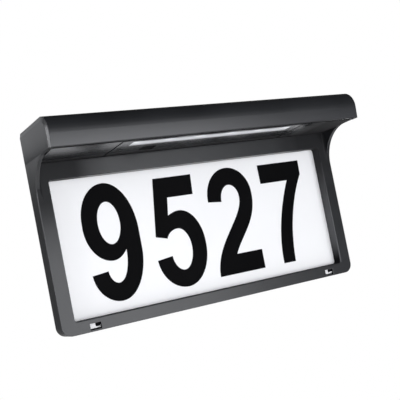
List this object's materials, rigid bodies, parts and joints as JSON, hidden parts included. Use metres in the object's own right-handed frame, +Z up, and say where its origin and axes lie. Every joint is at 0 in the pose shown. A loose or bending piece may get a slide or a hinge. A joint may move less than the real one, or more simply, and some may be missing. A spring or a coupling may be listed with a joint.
{
  "type": "illuminated house number sign",
  "caption": "Wall sign with a deep solar hood, lit strip under it, recessed white plate with black numerals and a press button",
  "frame": {"origin": "midway between the round ends of the two keyholes, on the back plane", "axes": "X runs to the right along the sign as seen from the front, Y runs into the wall and Z runs up"},
  "size_m": [0.304, 0.0682, 0.17],
  "materials": {
    "housing_black": "fine satin moulding",
    "lamp_panel_black": "semi-gloss",
    "frosted_white": "frosted, lets light through",
    "led_white": "white package with a pale yellow face",
    "board_white": "white solder mask",
    "screw_black": "blackened",
    "button_black": "matte",
    "seal_rubber": "matte",
    "switch_black": "matte",
    "plunger_tan": "satin",
    "board_green": "satin solder mask",
    "component_black": "matte",
    "screw_steel": "bright",
    "rear_black": "matte moulding",
    "cell_green": "gloss sleeve",
    "contact_nickel": "nickel plated",
    "plate_white": "smooth satin",
    "numeral_black": "satin vinyl",
    "tape_grey": "foam",
    "solar_backing_white": "matte",
    "solar_blue": "gloss, dark blue",
    "solar_clear": "clear resin",
    "lead_black": "satin sleeve",
    "lead_white": "satin sleeve",
    "lead_red": "satin sleeve"
  },
  "bodies": {
    "housing": {"battery": "cell_green", "battery_leads": "lead_red", "board_components": "component_black", "board_screws": "screw_steel", "button_seal": "seal_rubber", "contact_negative": "contact_nickel", "contact_positive": "contact_nickel", "control_board": "board_green", "front_housing": "housing_black", "hood_underside": "housing_black", "lamp_cover": "lamp_panel_black", "lamp_cover_screws": "screw_black", "lead_grommet": "seal_rubber", "led_board": "board_white", "led_diffuser": "frosted_white", "led_lead": "lead_white", "led_packages": "led_white", "mode_switch": "switch_black", "rear_cover": "rear_black", "rear_cover_screws": "screw_steel", "rear_seal": "seal_rubber", "solar_backing": "solar_backing_white", "solar_cells": "solar_blue", "solar_cover": "solar_clear", "solar_lead": "lead_black", "solar_tape": "tape_grey"},
    "button": {"mode_button": "button_black", "switch_plunger": "plunger_tan"},
    "plate": {"number_plate": "plate_white", "digit_9": "numeral_black", "digit_5": "numeral_black", "digit_2": "numeral_black", "digit_7": "numeral_black"},
    "door": {"battery_door": "rear_black", "door_seal": "seal_rubber", "door_screws": "screw_steel"}
  },
  "joints": [
    {"name": "button_press", "type": "slide", "parent": "housing", "child": "button", "axis": [0, 0.044, 0.999], "range_m": [0, 0.001], "stiffness_N_per_m": 400, "springref_m": -0.001},
    {"name": "plate_swing", "type": "hinge", "parent": "housing", "child": "plate", "pos_m": [0, -0.00441, -0.0161], "axis": [1, 0, 0], "range_deg": [0, 75]},
    {"name": "battery_door_lift", "type": "slide", "parent": "housing", "child": "door", "axis": [0, 1, 0], "range_m": [0, 0.03]}
  ]
}
